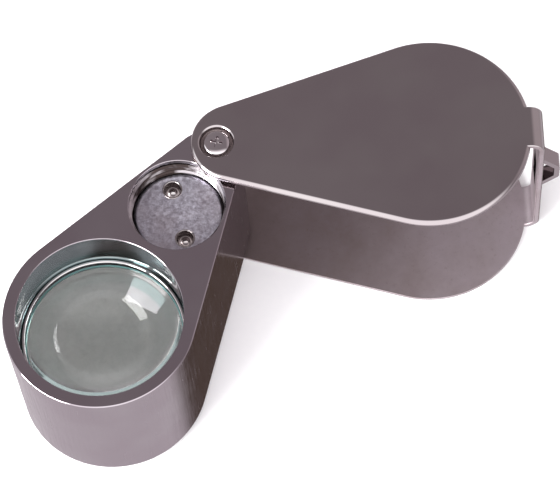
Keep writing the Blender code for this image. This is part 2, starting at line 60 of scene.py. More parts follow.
# Places in the frame
PIVOT = middle("pivot_screw_upper")
LENS = middle("magnifying_lens")
CAP = middle("battery_cap")
COVER_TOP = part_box("cover")[1].z
HOUSING_Z0, HOUSING_Z1 = (corner.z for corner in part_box("lens_housing"))
RING_Z0, RING_Z1 = (corner.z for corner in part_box("lens_retaining_ring"))
CAP_Z0, CAP_Z1 = (corner.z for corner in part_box("battery_cap"))
LENS_Z0, LENS_Z1 = (corner.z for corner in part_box("magnifying_lens"))
ARM = (LENS - PIVOT).to_2d()
REACH = ARM.length
CELL_AXIS = (CAP - PIVOT).to_2d().length
SWUNG = Matrix.Translation((PIVOT.x, PIVOT.y, 0)) @ Matrix.Rotation(math.atan2(ARM.y, ARM.x), 4, "Z")

# Sizes that the frame's boxes don't give: the sheet cover
SHEET = 0.9 * MM
COVER_NOSE_R, COVER_NOSE_OFFSET, COVER_R = 6.4 * MM, 2.5 * MM, 15.2 * MM
COVER_EDGE, BURR_EDGE = 0.74 * MM, 0.12 * MM
STRAP_WIDTH, STRAP_X, STRAP_BEND_R, STRAP_EDGE = 6.6 * MM, 17.1 * MM, 2.3 * MM, 0.2 * MM
LOOP_Z, LOOP_BASE, LOOP_FLAT, LOOP_REACH = 15.2 * MM, 9.4 * MM, 3.2 * MM, 2.8 * MM
LOOP_WIDTH, LOOP_SHEET, LOOP_WINDOW = 2.4 * MM, 0.85 * MM, 3.0 * MM
LOOP_BEND_R, LOOP_EDGE, LOOP_ROOM = 0.95 * MM, 0.18 * MM, 0.1 * MM
DISH_R, DISH_DEPTH, DISH_BOSS_R, DISH_BOSS = 2.5 * MM, 0.95 * MM, 3.1 * MM, 0.45 * MM
DISH_LIP, DISH_FOOT_R, DISH_BOSS_EDGE = 0.42 * MM, 0.2 * MM, 0.2 * MM
BURIED = 0.01 * MM

# The lens housing and the switch's pocket in its flank
NOSE_R, NOSE_OFFSET, HOUSING_R = 5.2 * MM, 2.8 * MM, 14.3 * MM
HOUSING_EDGE, MOUTH_EDGE = 0.22 * MM, 0.16 * MM
BORE_R, LOWER_BORE_R, SEAT_R = 12.4 * MM, 11.8 * MM, 11.5 * MM
SEAT_DEPTH, SEAT_THICK = 11.1 * MM, 1.2 * MM
THREAD_R, THREAD_CREST_R, THREAD_DEPTH, THREAD_PITCH = 7.25 * MM, 6.93 * MM, 7.6 * MM, 1.0 * MM
CHAMBER_R, CHAMBER_FLOOR = 6.4 * MM, 1.5 * MM
LAMP_Z, LAMP_R = 5.3 * MM, 1.5 * MM
LAMP_HOLE_START, LAMP_HOLE_LENGTH = 13.0 * MM, 10.0 * MM
SWITCH_ALONG, SWITCH_Z = 16.6 * MM, 14.5 * MM
POCKET_LENGTH, POCKET_HEIGHT, POCKET_DEPTH, POCKET_EDGE = 6.6 * MM, 3.6 * MM, 2.6 * MM, 0.3 * MM

# The pieces that the housing carries
FIT = 0.08 * MM
SCREW_R, SCREW_HEAD_R, SCREW_HEAD, SCREW_HEAD_EDGE = 1.0 * MM, 2.0 * MM, 0.85 * MM, 0.08 * MM
SCREW_LENGTH, SCREW_POINT = 5.2 * MM, 0.4 * MM
CROSS_WIDTH, CROSS_SPAN, CROSS_DEPTH = 0.5 * MM, 2.3 * MM, 0.62 * MM
RING_INNER_R, RING_BEVEL, NOTCH_LENGTH, NOTCH_WIDTH = 11.8 * MM, 0.3 * MM, 2.0 * MM, 0.8 * MM
LENS_R, LENS_DOME_R, LENS_DOME_RISE, LENS_NICK = 12.2 * MM, 11.7 * MM, 3.2 * MM, 0.15 * MM
CAP_R, CAP_CREST_R, CAP_BEVEL = 6.8 * MM, 7.1 * MM, 0.5 * MM
CAP_BORDER, CAP_BORDER_SLOPE, CAP_DIP = 0.75 * MM, 0.2 * MM, 0.07 * MM
SPANNER_R, SPANNER_OFFSET, SPANNER_DEPTH = 1.25 * MM, 4.15 * MM, 1.6 * MM
SPANNER_TURN = math.radians(46)
RIM_BEAD_R, RIM_WIDTH, RIM_OVERLAP, RIM_SUNK = 0.13 * MM, 0.32 * MM, 0.05 * MM, 0.3 * MM
KNOB_LENGTH, KNOB_HEIGHT, KNOB_DEPTH, KNOB_EDGE = 2.6 * MM, 2.4 * MM, 1.75 * MM, 0.12 * MM
GROOVE_R, GROOVE_PROUD, GROOVES = 0.16 * MM, 0.05 * MM, 4

# The height over the ring up to which the bore's wall gets a painted reflection of the green glass
GLASS_REFLECTION_HEIGHT = 2.0 * MM

# A thread's ridge: half its width at root and tip in pitches, and the share of its height in the wall
RIDGE_ROOT, RIDGE_TIP, RIDGE_SUNK = 0.27, 0.07, 0.3
# It runs out to a sliver over a sixth of a turn at each end
RUN_OUTS_PER_TURN, RIDGE_SLIVER = 6, 0.02
THREAD_END_GAP = 0.5 * MM
HOUSING_THREAD_TOP, CAP_THREAD_TOP = 0.65 * MM, 0.8 * MM

# The cap's ridge runs half a pitch from the housing's
RISE_BETWEEN = CAP_Z0 - (HOUSING_Z1 - THREAD_DEPTH)
CAP_THREAD_START = math.tau * (RISE_BETWEEN / THREAD_PITCH + 0.5)

# How far a cutter runs past the face that it opens
OUT = MM

# Steps round a full turn and along the outlines, by size of feature
FINE_ROUND, ROUND, SMALL_ROUND, HOLE_ROUND, GROOVE_ROUND = 160, 128, 96, 64, 24
NOSE_STEPS, ROUND_END_STEPS, BEND_STEPS, CORNER_STEPS = 40, 110, 20, 6
PLATE_EDGE_STEPS, BEAD_STEPS, LIP_STEPS, RING_STEPS, MOUTH_STEPS, EDGE_STEPS = 9, 8, 7, 5, 4, 3
SHARP_EDGE, SMOOTH_ANGLE = math.radians(30), math.radians(32)
LEVEL, WELD, FINAL_WELD, SLIVER = 1e-7, 1e-7, 2e-7, 1e-8


# Mesh helpers


def arc(centre, radius, start, end, steps):
    """Points along an arc in a plane, from one angle to another."""
    angles = [start + (end - start) * i / steps for i in range(steps + 1)]
    return [(centre[0] + radius * math.cos(a), centre[1] + radius * math.sin(a)) for a in angles]


def teardrop(nose_x, nose_r, round_x, round_r):
    """Outline of two circles joined by their outer tangents, counter-clockwise."""
    lean = math.acos((nose_r - round_r) / (round_x - nose_x))
    round_end = arc((round_x, 0), round_r, -lean, lean, ROUND_END_STEPS)
    return round_end + arc((nose_x, 0), nose_r, lean, math.tau - lean, NOSE_STEPS)


def mesh_object(name, bm):
    """A linked object with this mesh, its faces pointing out. The bmesh is used up."""
    bmesh.ops.recalc_face_normals(bm, faces=bm.faces)
    mesh = bpy.data.meshes.new(name)
    bm.to_mesh(mesh)
    bm.free()
    obj = bpy.data.objects.new(name, mesh)
    bpy.context.scene.collection.objects.link(obj)
    return obj


def extruded(points, way):
    """A bmesh of a flat outline pushed along a vector."""
    bm = bmesh.new()
    face = bm.faces.new([bm.verts.new(point) for point in points])
    raised = bmesh.ops.extrude_face_region(bm, geom=[face])["geom"]
    verts = [v for v in raised if isinstance(v, bmesh.types.BMVert)]
    bmesh.ops.translate(bm, vec=way, verts=verts)
    return bm


def slab(outline, z0, z1):
    return extruded([(x, y, z0) for x, y in outline], (0, 0, z1 - z0))


def rounded_edges(bm, edges, radius, steps):
    bmesh.ops.bevel(
        bm, geom=edges, offset=radius, offset_type="OFFSET", segments=steps,
        profile=0.5, affect="EDGES", clamp_overlap=True,
    )
    return bm


def soften(bm, height, radius, steps):
    """Rounds the edges round the outline at this height."""
    rim = [e for e in bm.edges if all(abs(v.co.z - height) < LEVEL for v in e.verts)]
    return rounded_edges(bm, rim, radius, steps)


def soften_sharp(bm, radius, steps, wanted=lambda edge: True):
    """Rounds every sharp edge that the test wants."""
    edges = [e for e in bm.edges if e.is_manifold and e.calc_face_angle(0) > SHARP_EDGE and wanted(e)]
    return rounded_edges(bm, edges, radius, steps)


def level_in_y(edge):
    """Whether an edge keeps its y, as those along a strip do."""
    return abs(edge.verts[0].co.y - edge.verts[1].co.y) < LEVEL


def turned(profile, segments=ROUND, closed=False):
    """A bmesh of (radius, height) points spun round Z. A closed profile makes a ring."""
    bm = bmesh.new()
    points = [bm.verts.new((r, 0, z)) for r, z in profile]
    ends = points + points[:1] if closed else points
    edges = [bm.edges.new(pair) for pair in zip(ends, ends[1:])]
    bmesh.ops.spin(
        bm, geom=points + edges, cent=(0, 0, 0), axis=(0, 0, 1),
        angle=math.tau, steps=segments, use_duplicate=False,
    )
    bmesh.ops.remove_doubles(bm, verts=bm.verts, dist=WELD)
    bmesh.ops.dissolve_degenerate(bm, edges=bm.edges, dist=SLIVER)
    return bm


def cylinder(radius, z0, z1, segments=HOLE_ROUND):
    return turned([(0, z0), (radius, z0), (radius, z1), (0, z1)], segments)


def box(size, centre=(0, 0, 0)):
    bm = bmesh.new()
    bmesh.ops.create_cube(bm, size=1)
    bmesh.ops.scale(bm, vec=size, verts=bm.verts)
    bmesh.ops.translate(bm, vec=centre, verts=bm.verts)
    return bm


def rounded(points, radius):
    """A path in a plane with each inner corner turned into an arc of this radius."""
    points = [Vector(p) for p in points]
    path = [points[0]]
    for before, corner, after in zip(points, points[1:], points[2:]):
        back, ahead = (before - corner).normalized(), (after - corner).normalized()
        half = back.angle(ahead) / 2
        reach = radius / math.tan(half)
        middle_way = (back + ahead).normalized()
        centre = corner + middle_way * (radius / math.sin(half))
        start, end = corner + back * reach - centre, corner + ahead * reach - centre
        for i in range(CORNER_STEPS + 1):
            share = i / CORNER_STEPS
            path.append(centre + (start * (1 - share) + end * share).normalized() * radius)
    return path + [points[-1]]


def bent_strip(path, thickness, width):
    """A sheet strip: the path is its outer face in X and Z, and it is centred on y = 0."""
    path = [Vector(p) for p in path]
    inner = []
    for i, point in enumerate(path):
        before = (point - path[i - 1]).normalized() if i else (path[1] - point).normalized()
        after = (path[i + 1] - point).normalized() if i + 1 < len(path) else before
        side = Vector((before.y + after.y, -before.x - after.x)).normalized()
        inner.append(point + side * thickness / side.dot(Vector((before.y, -before.x))))
    return extruded([(p.x, -width / 2, p.y) for p in path + inner[::-1]], (0, width, 0))


def thread_ridge(root, crest, z0, z1, start):
    """A helical ridge with run-out ends, rooted in the wall. start is its angle at z0."""
    sunk = root - (crest - root) * RIDGE_SUNK
    turns = (z1 - z0) / THREAD_PITCH
    count = int(turns * SMALL_ROUND)
    wide, narrow = THREAD_PITCH * RIDGE_ROOT, THREAD_PITCH * RIDGE_TIP
    bm = bmesh.new()
    sections = []
    for i in range(count + 1):
        share = i / count
        fade = min(1.0, RUN_OUTS_PER_TURN * share * turns, RUN_OUTS_PER_TURN * (1 - share) * turns)
        fade = max(fade, RIDGE_SLIVER)
        angle = start + math.tau * turns * share
        z = z0 + (z1 - z0) * share
        tip = root + (crest - root) * fade
        section = [(sunk, z - wide), (root, z - wide), (tip, z - narrow * fade),
                   (tip, z + narrow * fade), (root, z + wide), (sunk, z + wide)]
        across, along = math.cos(angle), math.sin(angle)
        sections.append([bm.verts.new((r * across, r * along, height)) for r, height in section])
    for one, two in zip(sections, sections[1:]):
        for i in range(len(one)):
            j = (i + 1) % len(one)
            bm.faces.new((one[i], one[j], two[j], two[i]))
    bm.faces.new(sections[0][::-1])
    bm.faces.new(sections[-1])
    return bm


def absorb(obj, bm, matrix=Matrix.Identity(4)):
    """Adds a closed body, rooted in the piece's own metal, to the piece's mesh."""
    bmesh.ops.recalc_face_normals(bm, faces=bm.faces)
    bm.transform(matrix)
    extra = bpy.data.meshes.new("extra")
    bm.to_mesh(extra)
    bm.free()
    whole = bmesh.new()
    whole.from_mesh(obj.data)
    whole.from_mesh(extra)
    whole.to_mesh(obj.data)
    whole.free()


def combine(target, others, operation):
    """Applies one Boolean after another to the target's mesh, and removes the other objects."""
    for other in others:
        modifier = target.modifiers.new(other.name, "BOOLEAN")
        modifier.operation = operation
        modifier.solver = "EXACT"
        modifier.object = other
    bpy.context.view_layer.update()
    graph = bpy.context.evaluated_depsgraph_get()
    mesh = bpy.data.meshes.new_from_object(target.evaluated_get(graph))
    target.modifiers.clear()
    target.data = mesh
    for other in others:
        bpy.data.objects.remove(other)


def cut(target, *others):
    combine(target, others, "DIFFERENCE")


def join(target, *others):
    combine(target, others, "UNION")


def finish(obj, surfaces, body, node, matrix=None):
    """Gives a piece its place, shading, materials and body. It stands for one CAD node."""
    if matrix:
        obj.data.transform(matrix)
    bm = bmesh.new()
    bm.from_mesh(obj.data)
    bmesh.ops.remove_doubles(bm, verts=bm.verts, dist=FINAL_WELD)
    bmesh.ops.dissolve_degenerate(bm, edges=bm.edges, dist=FINAL_WELD)
    bm.to_mesh(obj.data)
    bm.free()
    # Clearing the materials would forget which face has which
    indices = [face.material_index for face in obj.data.polygons]
    obj.data.materials.clear()
    for material in surfaces:
        obj.data.materials.append(material)
    for face, index in zip(obj.data.polygons, indices):
        face.material_index = index
    obj.data.shade_smooth()
    obj.data.set_sharp_from_angle(angle=SMOOTH_ANGLE)
    weighted = obj.modifiers.new("even faces", "WEIGHTED_NORMAL")
    weighted.keep_sharp = True
    weighted.weight = 90
    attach(obj, body)
    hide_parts(node)


# Materials


class Look:
    """A Principled material and short ways to add nodes to it."""

    def __init__(self, name, **constants):
        self.material = bpy.data.materials.new(name)
        self.material.use_nodes = True
        self.tree = self.material.node_tree
        self.shader = self.tree.nodes["Principled BSDF"]
        for socket, value in constants.items():
            self.shader.inputs[socket.replace("_", " ")].default_value = value
        self.place = self.node("ShaderNodeTexCoord").outputs["Object"]

    def node(self, kind, **settings):
        made = self.tree.nodes.new(kind)
        for name, value in settings.items():
            setattr(made, name, value)
        return made

    def link(self, source, socket):
        self.tree.links.new(source, socket)

    def stretched(self, scale, at):
        mapping = self.node("ShaderNodeMapping")
        mapping.inputs["Location"].default_value = at
        mapping.inputs["Scale"].default_value = scale
        self.link(self.place, mapping.inputs["Vector"])
        return mapping.outputs["Vector"]

    def noise(self, scale, detail=3.0, roughness=0.55, at=(0, 0, 0), distortion=0.0):
        """Noise with this many cells to the metre along X, Y and Z."""
        scale = scale if isinstance(scale, tuple) else (scale,) * 3
        made = self.node("ShaderNodeTexNoise")
        made.inputs["Scale"].default_value = 1.0
        made.inputs["Detail"].default_value = detail
        made.inputs["Roughness"].default_value = roughness
        made.inputs["Distortion"].default_value = distortion
        self.link(self.stretched(scale, at), made.inputs["Vector"])
        return made.outputs["Fac"]

    def ranged(self, source, low, high, to_low, to_high):
        made = self.node("ShaderNodeMapRange")
        for name, value in zip(("From Min", "From Max", "To Min", "To Max"), (low, high, to_low, to_high)):
            made.inputs[name].default_value = value
        self.link(source, made.inputs["Value"])
        return made.outputs["Result"]

    def math(self, operation, first, second):
        made = self.node("ShaderNodeMath", operation=operation)
        for socket, value in zip(made.inputs, (first, second)):
            if isinstance(value, (int, float)):
                socket.default_value = value
            else:
                self.link(value, socket)
        return made.outputs["Value"]

    def blended(self, factor, first, second):
        """Mixes two colours or colour sockets."""
        made = self.node("ShaderNodeMix", data_type="RGBA")
        self.link(factor, made.inputs[0])
        for socket, value in ((made.inputs[6], first), (made.inputs[7], second)):
            if isinstance(value, tuple):
                socket.default_value = (*value, 1)
            else:
                self.link(value, socket)
        return made.outputs[2]

    def colour(self, source):
        self.link(source, self.shader.inputs["Base Color"])

    def rough(self, source):
        self.link(source, self.shader.inputs["Roughness"])

    def bump(self, height, distance, strength, normal=None):
        made = self.node("ShaderNodeBump")
        made.inputs["Distance"].default_value = distance
        made.inputs["Strength"].default_value = strength
        self.link(height, made.inputs["Height"])
        if normal:
            self.link(normal, made.inputs["Normal"])
        self.link(made.outputs["Normal"], self.shader.inputs["Normal"])
        return made.outputs["Normal"]

    def along(self, axis, source):
        """A vector's X, Y or Z."""
        parts = self.node("ShaderNodeSeparateXYZ")
        self.link(source, parts.inputs[0])
        return parts.outputs[axis]

    def upright(self):
        """1 on walls that stand upright, 0 on level faces."""
        normal = self.node("ShaderNodeNewGeometry").outputs["Normal"]
        level = self.math("ABSOLUTE", self.along("Z", normal), 0)
        return self.ranged(level, 0.3, 0.8, 1.0, 0.0)


def painted_glass_reflection(look, tone):
    """The tone with a painted reflection of the green glass on the bore's wall just above the lens."""
    flat = look.node("ShaderNodeVectorMath", operation="MULTIPLY")
    look.link(look.place, flat.inputs[0])
    flat.inputs[1].default_value = (1, 1, 0)
    away = look.node("ShaderNodeVectorMath", operation="DISTANCE")
    look.link(flat.outputs["Vector"], away.inputs[0])
    away.inputs[1].default_value = (LENS.x, LENS.y, 0)
    strength = 0.7
    inside = look.ranged(away.outputs["Value"], BORE_R + FIT, BORE_R + 2 * FIT, strength, 0)
    height = look.along("Z", look.place)
    low = look.ranged(height, RING_Z1 + GLASS_REFLECTION_HEIGHT, RING_Z1 + GLASS_REFLECTION_HEIGHT * 1.25, 1, 0)
    return look.blended(look.math("MULTIPLY", inside, low), tone, (0.23, 0.35, 0.345))


def plated(name, bright, dark, streaks, glass_reflection=False):
    """Chrome plate: tone drift, fine streaks down the walls, haze and scratches."""
    look = Look(name, Metallic=1.0)
    drift = look.noise(90, detail=2)
    tone = look.blended(look.ranged(drift, 0.35, 0.65, 0, 1), dark, bright)
    # On the bore's wall, a painted reflection of the green glass tints the tone just above the lens
    look.colour(painted_glass_reflection(look, tone) if glass_reflection else tone)
    grain = look.noise((3200, 3200, 110), detail=4, roughness=0.65)
    haze = look.noise(260, detail=4, at=(0.3, 0.1, 0))
    wall = look.math("MULTIPLY", look.upright(), streaks)
    smooth = look.ranged(haze, 0.35, 0.7, 0.035, 0.085)
    satin = look.math("MULTIPLY", look.ranged(grain, 0.3, 0.7, 0.06, 0.22), wall)
    look.rough(look.math("ADD", smooth, satin))
    scratches = look.noise((4200, 260, 2600), detail=2, roughness=0.4)
    scratched = look.bump(scratches, 1.2 * MICRON, 0.3)
    wavy = look.math("MULTIPLY", grain, wall)
    look.bump(wavy, 5 * MICRON, 0.35, scratched)
    return look.material


def build_looks():
    looks = {}
    looks["cover"] = plated("cover_plate", (0.46, 0.425, 0.425), (0.43, 0.385, 0.395), 0.25)
    looks["cover_inside"] = brushed_inside()
    looks["housing"] = plated("housing_plate", (0.46, 0.42, 0.445), (0.425, 0.375, 0.405), 1.0)
    # The bore's plate is a brighter, greyer copy of the housing's plate: painted light on the bore's wall
    looks["bore"] = plated("bore_plate_painted_light", (0.62, 0.61, 0.63), (0.46, 0.45, 0.47), 0.12, glass_reflection=True)
    looks["thread"] = thread_steel()
    looks["screw"] = plated("screw_plate", (0.66, 0.62, 0.63), (0.55, 0.51, 0.52), 0.3)
    looks["ring"] = plated("ring_plate", (0.62, 0.60, 0.60), (0.5, 0.48, 0.48), 0.3)
    looks["cap"] = satin_cap()
    # A darker plate than the cap's satin, for its spanner holes and their rims; the darkness is painted
    # shade in the holes
    looks["drilled"] = plated("drilled_steel_painted_shade", (0.50, 0.47, 0.47), (0.34, 0.30, 0.29), 0.5)
    looks["glass"] = lens_glass()
    looks["lens_edge"] = ground_glass()
    looks["cell"] = cell_steel()
    looks["brass"] = brass()
    looks["nylon"] = plastic("nylon", (0.80, 0.78, 0.72), (0.86, 0.85, 0.80), 0.42, 0.6)
    looks["black"] = plastic("black_plastic", (0.018, 0.018, 0.019), (0.035, 0.034, 0.033), 0.42, 0.6)
    looks["red"] = plastic("red_insulation", (0.45, 0.02, 0.015), (0.6, 0.04, 0.03), 0.4, 0.5)
    looks["board"] = circuit_board()
    looks["lamp"] = lamp_resin()
    looks["resistor"] = plastic("resistor_body", (0.02, 0.02, 0.022), (0.05, 0.05, 0.05), 0.5, 0.8)
    return looks


def brushed_inside():
    """The sheet's unpolished inner side: cloudy, brushed and dull, with painted shade darkening it towards
    the pivot, where the housing shades it.
    """
    look = Look("cover_inside", Metallic=1.0)
    clouds = look.noise(110, detail=5, roughness=0.6)
    specks = look.noise(1900, detail=3, at=(0.1, 0.4, 0))
    tone = look.blended(look.ranged(clouds, 0.3, 0.7, 0, 1), (0.34, 0.285, 0.29), (0.54, 0.48, 0.51))
    stained = look.blended(look.ranged(specks, 0.6, 0.8, 0, 0.5), tone, (0.26, 0.21, 0.20))
    # Painted shade: darker towards the pivot, where the housing shades the inner face
    painted_shade_towards_pivot = look.ranged(look.along("X", look.place), PIVOT.x * 0.85, 0, 0.75, 0)
    look.colour(look.blended(painted_shade_towards_pivot, stained, (0.19, 0.145, 0.135)))
    look.rough(look.ranged(clouds, 0.3, 0.7, 0.62, 0.5))
    brushing = look.noise((300, 4200, 4200), detail=3, at=(0, 0.2, 0.1))
    look.bump(brushing, 6 * MICRON, 0.4)
    return look.material


def thread_steel():
    """Cut threads, near-black in patches: painted shade in the recess, with bright plate between."""
    look = Look("thread_steel", Metallic=1.0)
    shade_noise = look.noise((170, 170, 500), detail=4, distortion=0.4)
    grain = look.noise(2400, detail=2)
    shade_mix = look.ranged(shade_noise, 0.42, 0.56, 0, 1)
    # Painted shade: the threads in the recess turn near-black in patches
    look.colour(look.blended(shade_mix, (0.05, 0.038, 0.036), (0.46, 0.43, 0.45)))
    look.rough(look.ranged(grain, 0.3, 0.7, 0.1, 0.25))
    look.bump(grain, 10 * MICRON, 0.3)
    return look.material


def satin_cap():
    """Cast and lightly blasted steel, mottled at two scales."""
    look = Look("cap_satin", Metallic=1.0)
    mottle = look.noise(1700, detail=5, roughness=0.7)
    patches = look.noise(180, detail=3, at=(0.2, 0, 0))
    tone = look.blended(look.ranged(mottle, 0.35, 0.65, 0, 1), (0.38, 0.36, 0.42), (0.84, 0.84, 0.93))
    look.colour(look.blended(look.ranged(patches, 0.4, 0.7, 0, 0.6), tone, (0.52, 0.47, 0.50)))
    look.rough(look.ranged(mottle, 0.3, 0.7, 0.34, 0.5))
    grit = look.noise(5200, detail=3, roughness=0.6)
    look.bump(look.math("ADD", grit, mottle), 20 * MICRON, 0.35)
    return look.material


def lens_glass():
    """Glass with a little dust, tinted grey-olive: the tint is painted shade that darkens the floor seen
    through the lens.
    """
    look = Look("lens_glass", IOR=1.52, Roughness=0.0, Transmission_Weight=1.0)
    dust = look.noise(900, detail=6, roughness=0.8)
    # Painted shade: the grey-olive tint darkens the floor seen through the lens
    look.colour(look.blended(look.ranged(dust, 0.45, 0.8, 0, 1), (0.90, 0.90, 0.87), (0.75, 0.76, 0.72)))
    look.rough(look.ranged(dust, 0.5, 0.8, 0.0, 0.06))
    return look.material


def ground_glass():
    """The lens's rough ground edge, which shows the green of the glass."""
    look = Look("lens_edge", IOR=1.52, Transmission_Weight=0.35)
    grain = look.noise(3500, detail=3)
    look.colour(look.blended(grain, (0.12, 0.30, 0.30), (0.24, 0.44, 0.43)))
    look.rough(look.ranged(grain, 0.3, 0.7, 0.3, 0.5))
    look.bump(grain, 10 * MICRON, 0.4)
    return look.material


def cell_steel():
    look = Look("cell_steel", Metallic=1.0)
    grain = look.noise((200, 2600, 2600), detail=3)
    look.colour(look.blended(grain, (0.50, 0.50, 0.52), (0.66, 0.66, 0.67)))
    look.rough(look.ranged(grain, 0.3, 0.7, 0.18, 0.34))
    look.bump(grain, 4 * MICRON, 0.3)
    return look.material


def brass():
    look = Look("spring_brass", Metallic=1.0)
    tarnish = look.noise(420, detail=4)
    dull = look.ranged(tarnish, 0.4, 0.7, 0, 1)
    look.colour(look.blended(dull, (0.74, 0.58, 0.30), (0.52, 0.37, 0.18)))
    look.rough(look.ranged(tarnish, 0.3, 0.7, 0.2, 0.42))
    look.bump(tarnish, 10 * MICRON, 0.2)
    return look.material


def plastic(name, dark, bright, low, high):
    """Moulded plastic between two tones and between two values of roughness."""
    look = Look(name)
    grain = look.noise(2600, detail=3)
    tone = look.noise(220, detail=2)
    look.colour(look.blended(tone, dark, bright))
    look.rough(look.ranged(grain, 0.3, 0.7, low, high))
    look.bump(grain, 15 * MICRON, 0.35)
    return look.material


def circuit_board():
    look = Look("circuit_board")
    weave = look.noise((1500, 1500, 200), detail=2)
    look.colour(look.blended(weave, (0.02, 0.13, 0.05), (0.05, 0.24, 0.10)))
    look.rough(look.ranged(weave, 0.3, 0.7, 0.25, 0.4))
    look.bump(weave, 10 * MICRON, 0.3)
    return look.material


def lamp_resin():
    look = Look("lamp_resin", IOR=1.5, Transmission_Weight=0.85)
    cloud = look.noise(900, detail=3)
    look.colour(look.blended(cloud, (0.86, 0.89, 0.93), (0.97, 0.98, 1.0)))
    look.rough(look.ranged(cloud, 0.3, 0.7, 0.04, 0.12))
    return look.material


# The sheet cover


def cover_plate(z0, outer_face, name):
    """One teardrop plate, rounder on its outer face than on its inner one."""
    outline = teardrop(COVER_NOSE_OFFSET, COVER_NOSE_R, -PIVOT.x, COVER_R)
    outline = [(x + PIVOT.x, y) for x, y in outline]
    inner_face = z0 if outer_face > z0 else z0 + SHEET
    bm = soften(slab(outline, z0, z0 + SHEET), outer_face, COVER_EDGE, PLATE_EDGE_STEPS)
    return mesh_object(name, soften(bm, inner_face, BURR_EDGE, EDGE_STEPS))


def pivot_dish(outer_face, inward):
    """Boss with a thin rim at its foot, recess and screw hole of the pressed dish in one plate.

    inward is +1 or -1, into the cover.
    """
    def at(depth):
        return outer_face + inward * depth
    boss_end = SHEET + DISH_BOSS
    turn_r, quarter = DISH_BOSS_EDGE, [math.radians(d) for d in (90, 60, 30, 0)]
    side = [(DISH_BOSS_R + turn_r * math.sin(a), at(SHEET + turn_r * (1 - math.cos(a)) - BURIED))
            for a in quarter]
    crown = [(DISH_BOSS_R - turn_r * (1 - math.sin(a)), at(boss_end - turn_r * (1 - math.cos(a))))
             for a in quarter]
    profile = [(0, at(SHEET / 2)), (DISH_BOSS_R + turn_r, at(SHEET / 2))] + side
    boss = mesh_object("boss", turned(profile + crown + [(0, at(boss_end))], SMALL_ROUND))
    lip = arc((DISH_R + DISH_LIP, DISH_LIP), DISH_LIP, -math.pi / 2, -math.pi, LIP_STEPS)
    corner = (DISH_R - DISH_FOOT_R, DISH_DEPTH - DISH_FOOT_R)
    foot = arc(corner, DISH_FOOT_R, 0, math.pi / 2, MOUTH_STEPS)
    wall = [(r, at(depth)) for r, depth in [(DISH_R + DISH_LIP, -OUT)] + lip + foot]
    floor = [(0, at(DISH_DEPTH))]
    recess = mesh_object("recess", turned([(0, at(-OUT))] + wall + floor, SMALL_ROUND))
    hole = mesh_object("hole", cylinder(SCREW_R + FIT, *sorted((at(-OUT), at(boss_end + OUT)))))
    for obj in (boss, recess, hole):
        obj.location = (PIVOT.x, PIVOT.y, 0)
    return boss, recess, hole


def cover_strap():
    """The strap at the round end, bent into both plates."""
    start = COVER_R / 2
    bend_x = STRAP_X - STRAP_BEND_R
    top_bend = arc((bend_x, COVER_TOP - STRAP_BEND_R), STRAP_BEND_R, math.pi / 2, 0, BEND_STEPS)
    low_bend = arc((bend_x, STRAP_BEND_R), STRAP_BEND_R, 0, -math.pi / 2, BEND_STEPS)
    path = [(start, COVER_TOP)] + top_bend + low_bend + [(start, 0)]
    strip = bent_strip(path, SHEET, STRAP_WIDTH)
    soften_sharp(strip, STRAP_EDGE, EDGE_STEPS, level_in_y)
    return mesh_object("strap", strip)


def lanyard_loop():
    """The loop lanced out of the strap, and the window that it leaves there."""
    root = STRAP_X - SHEET / 2
    surface, crest = STRAP_X - 2 * BURIED, STRAP_X + LOOP_REACH
    half_base, half_flat = LOOP_BASE / 2, LOOP_FLAT / 2
    bends = rounded(
        [(surface, LOOP_Z + half_base), (crest, LOOP_Z + half_flat),
         (crest, LOOP_Z - half_flat), (surface, LOOP_Z - half_base)],
        LOOP_BEND_R,
    )
    path = [(root, LOOP_Z + half_base)] + [tuple(p) for p in bends] + [(root, LOOP_Z - half_base)]
    strip = bent_strip(path, LOOP_SHEET, LOOP_WIDTH)
    soften_sharp(strip, LOOP_EDGE, EDGE_STEPS, level_in_y)
    window_height = LOOP_BASE - 2 * LOOP_SHEET - LOOP_ROOM
    window = box((2 * SHEET, LOOP_WINDOW, window_height), (STRAP_X - SHEET, 0, LOOP_Z))
    return mesh_object("loop", strip), mesh_object("window", window)


def make_cover(looks):
    cover = cover_plate(0, 0, "sheet_cover")
    upper = cover_plate(COVER_TOP - SHEET, COVER_TOP, "upper plate")
    strap = cover_strap()
    loop, window = lanyard_loop()
    lower_boss, lower_recess, lower_hole = pivot_dish(0, 1)
    upper_boss, upper_recess, upper_hole = pivot_dish(COVER_TOP, -1)
    join(cover, upper, strap)
    cut(cover, window)
    join(cover, loop, lower_boss, upper_boss)
    cut(cover, lower_recess, lower_hole, upper_recess, upper_hole)
    for face in cover.data.polygons:
        x, _, z = face.center
        between = SHEET - FIT < z < COVER_TOP - SHEET + FIT
        face.material_index = int(between and x < STRAP_X - SHEET + FIT)
    finish(cover, [looks["cover"], looks["cover_inside"]], "cover", "cover")


# The lens housing and what it carries


def flank_frame():
    """A point on the flank with the switch, and its directions, in the folded layout."""
    lean = math.acos((NOSE_R - HOUSING_R) / (REACH - NOSE_OFFSET))
    normal = Vector((math.cos(lean), -math.sin(lean), 0))
    along = Vector((math.sin(lean), math.cos(lean), 0))
    return Vector((NOSE_OFFSET, 0, 0)) + normal * NOSE_R, along, normal


